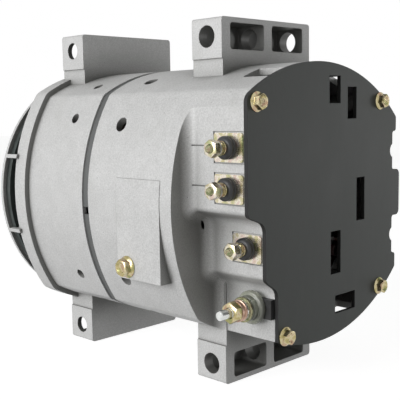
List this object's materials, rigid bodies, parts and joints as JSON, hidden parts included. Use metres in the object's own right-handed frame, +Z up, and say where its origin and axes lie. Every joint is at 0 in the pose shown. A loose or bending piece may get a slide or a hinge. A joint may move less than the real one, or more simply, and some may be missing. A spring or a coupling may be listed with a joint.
{
  "type": "alternator",
  "caption": "Heavy-duty alternator with cast end housings, mounting feet, a guarded external fan, and a rear terminal recess with studs.",
  "frame": {"origin": "on the shaft axis, at the shoulder that the pulley seats on", "axes": "+Y along the shaft towards the drive end, +Z up towards the upper feet, -X towards the terminals"},
  "size_m": [0.2198, 0.352, 0.282],
  "materials": {
    "cast_aluminium": "as cast, satin",
    "cover_paint": "matt grey",
    "yellow_zinc": "yellow zinc plating",
    "core_steel": "dull laminated steel",
    "enamelled_copper": "varnished winding wire",
    "dark_steel": "black oxide",
    "bright_steel": "machined",
    "copper": "bare copper",
    "brass": "satin",
    "black_plastic": "moulded",
    "clear_plastic": "translucent grey-green",
    "carbon": "sintered carbon"
  },
  "bodies": {
    "stator_frame": {"drive_end_housing": "cast_aluminium", "rear_housing": "cast_aluminium", "rear_cover_plate": "cover_paint", "cover_bolts": "yellow_zinc", "earth_bolt": "yellow_zinc", "stator_core": "core_steel", "stator_windings": "enamelled_copper", "through_bolts": "dark_steel", "bearing_retainer": "bright_steel", "retainer_screws": "dark_steel", "brush_holder": "black_plastic", "brush_holder_screws": "bright_steel", "voltage_regulator": "black_plastic", "regulator_screws": "bright_steel", "capacitor": "cast_aluminium", "negative_heat_sink": "cast_aluminium", "positive_heat_sink": "cast_aluminium", "diodes": "bright_steel", "rectifier_standoffs": "black_plastic", "rectifier_screws": "bright_steel", "terminal_tabs": "yellow_zinc", "terminal_insulators": "black_plastic", "terminal_studs": "yellow_zinc", "terminal_washers": "yellow_zinc", "terminal_jam_nuts": "yellow_zinc", "terminal_lock_washers": "bright_steel", "terminal_nuts": "yellow_zinc", "output_block": "black_plastic", "output_insulator": "clear_plastic", "output_stud": "bright_steel", "output_washer": "bright_steel", "output_lock_washer": "bright_steel", "output_copper_ring": "copper", "output_nut": "yellow_zinc", "output_strap": "copper", "front_brush_spring": "bright_steel", "rear_brush_spring": "bright_steel", "drive_end_bearing_outer_ring": "bright_steel", "slip_end_bearing_outer_ring": "bright_steel"},
    "rotor": {"rotor_shaft": "bright_steel", "rear_claw_pole": "core_steel", "front_claw_pole": "core_steel", "field_coil": "enamelled_copper", "slip_ring_hub": "black_plastic", "slip_rings": "copper", "fan": "dark_steel", "fan_hub": "bright_steel", "shaft_spacer": "bright_steel", "drive_end_bearing_inner_ring": "bright_steel", "slip_end_bearing_inner_ring": "bright_steel"},
    "drive_end_ball_set": {"drive_end_bearing_balls": "bright_steel", "drive_end_bearing_cage": "brass"},
    "slip_end_ball_set": {"slip_end_bearing_balls": "bright_steel", "slip_end_bearing_cage": "brass"},
    "front_brush_set": {"front_brush": "carbon"},
    "rear_brush_set": {"rear_brush": "carbon"}
  },
  "joints": [
    {"name": "rotor_spin", "type": "hinge", "parent": "stator_frame", "child": "rotor", "pos_m": [0, 0, 0], "axis": [0, 1, 0], "continuous": true},
    {"name": "drive_end_ball_spin", "type": "hinge", "parent": "stator_frame", "child": "drive_end_ball_set", "pos_m": [0, 0, 0], "axis": [0, 1, 0], "continuous": true},
    {"name": "slip_end_ball_spin", "type": "hinge", "parent": "stator_frame", "child": "slip_end_ball_set", "pos_m": [0, 0, 0], "axis": [0, 1, 0], "continuous": true},
    {"name": "front_brush_slide", "type": "slide", "parent": "stator_frame", "child": "front_brush_set", "axis": [0, 0, 1], "range_m": [0, 0.008], "stiffness_N_per_m": 300, "springref_m": -0.008, "deforming": ["front_brush_spring"]},
    {"name": "rear_brush_slide", "type": "slide", "parent": "stator_frame", "child": "rear_brush_set", "axis": [0, 0, 1], "range_m": [0, 0.008], "stiffness_N_per_m": 300, "springref_m": -0.008, "deforming": ["rear_brush_spring"]}
  ],
  "couplings": [
    {"joint": "drive_end_ball_spin", "follows": "rotor_spin", "ratio": 0.3804},
    {"joint": "slip_end_ball_spin", "follows": "rotor_spin", "ratio": 0.3836}
  ]
}
